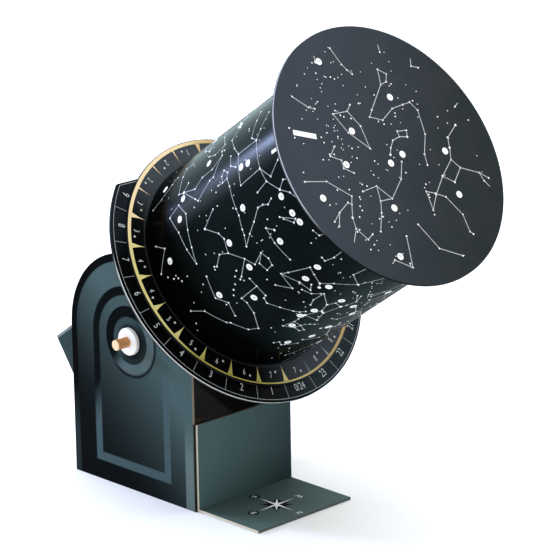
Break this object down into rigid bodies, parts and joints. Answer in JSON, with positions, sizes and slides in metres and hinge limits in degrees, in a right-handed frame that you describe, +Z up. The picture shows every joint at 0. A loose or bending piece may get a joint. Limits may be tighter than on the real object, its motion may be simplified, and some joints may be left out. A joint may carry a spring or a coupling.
{
  "type": "planetarium projector",
  "caption": "Tabletop planetarium of printed board: a star drum with a lamp inside turns before an hour plate, on a box that tilts between two round-topped walls.",
  "frame": {"origin": "on the ground under the dowel's axis, half way between the walls", "axes": "+Z up, +X along the dowel, -Y towards the front, where the base reaches out and the drum points"},
  "size_m": [0.222, 0.3675, 0.3717],
  "materials": {
    "printed_board": "printed grey board, matt varnish, raw edges",
    "box_board": "printed grey board, matt varnish, raw edges",
    "hour_board": "black printed grey board",
    "date_board": "printed grey board with a gold rim",
    "star_board": "black grey board with a printed star map",
    "star_shell": "glossy black card with pricked stars",
    "plain_card": "plain grey card",
    "dowel_wood": "plain turned wood",
    "plug_wood": "plain wood",
    "washer_plastic": "white, moulded",
    "post_metal": "drawn tube",
    "socket_plastic": "black, moulded",
    "cap_brass": "pressed, with a rolled thread",
    "bulb_glass": "clear blown glass",
    "tray_plastic": "black, moulded",
    "cell_metal": "plain sleeve",
    "contact_steel": "spring strip",
    "switch_steel": "folded sheet",
    "knob_plastic": "black, moulded",
    "red_sleeve": "red sleeve",
    "black_sleeve": "black sleeve"
  },
  "bodies": {
    "stand": {"base_plate": "printed_board", "side_wall_left": "printed_board", "side_wall_right": "printed_board", "front_backer": "printed_board", "front_panel": "printed_board", "rear_panel": "printed_board", "floor_strip_left": "plain_card", "floor_strip_right": "plain_card", "front_strip_left": "plain_card", "front_strip_right": "plain_card", "rear_strip_left": "plain_card", "rear_strip_right": "plain_card", "front_floor_strip": "plain_card", "rear_floor_strip": "plain_card"},
    "cradle": {"spacer_left": "plain_card", "spacer_right": "plain_card", "box_cheek_left": "box_board", "box_cheek_right": "box_board", "box_top": "box_board", "box_bottom": "box_board", "box_front": "box_board", "bulkhead": "box_board", "lid_stops": "box_board", "pivot_dowel": "dowel_wood", "washer_left": "washer_plastic", "washer_right": "washer_plastic", "hour_plate": "hour_board", "retaining_ring": "date_board", "bearing_tube": "date_board", "tube_plug": "plug_wood", "lamp_post": "post_metal", "lamp_socket": "socket_plastic", "bulb_cap": "cap_brass", "bulb_glass": "bulb_glass", "battery_tray": "tray_plastic", "battery_cells": "cell_metal", "battery_contacts": "contact_steel", "switch_body": "switch_steel", "red_lead": "red_sleeve", "black_lead": "black_sleeve", "switch_lead": "black_sleeve"},
    "switch_knob": {"switch_knob": "knob_plastic"},
    "back_lid": {"back_lid": "box_board"},
    "star_drum": {"date_ring": "date_board", "drum_shell": "star_shell", "rear_tab_ring": "plain_card", "front_tab_ring": "plain_card", "drum_seam": "plain_card", "star_disc": "star_board"}
  },
  "joints": [
    {"name": "latitude_tilt", "type": "hinge", "parent": "stand", "child": "cradle", "pos_m": [0, 0, 0.1185], "axis": [-1, 0, 0], "range_deg": [-35, 55]},
    {"name": "drum_spin", "type": "hinge", "parent": "cradle", "child": "star_drum", "pos_m": [0, 0.00803, 0.12997], "axis": [0, -0.8192, 0.5736], "continuous": true},
    {"name": "switch_slide", "type": "slide", "parent": "cradle", "child": "switch_knob", "axis": [1, 0, 0], "range_m": [0, 0.004]},
    {"name": "lid_pull", "type": "slide", "parent": "cradle", "child": "back_lid", "axis": [0, 0.8192, -0.5736], "range_m": [0, 0.012]}
  ]
}
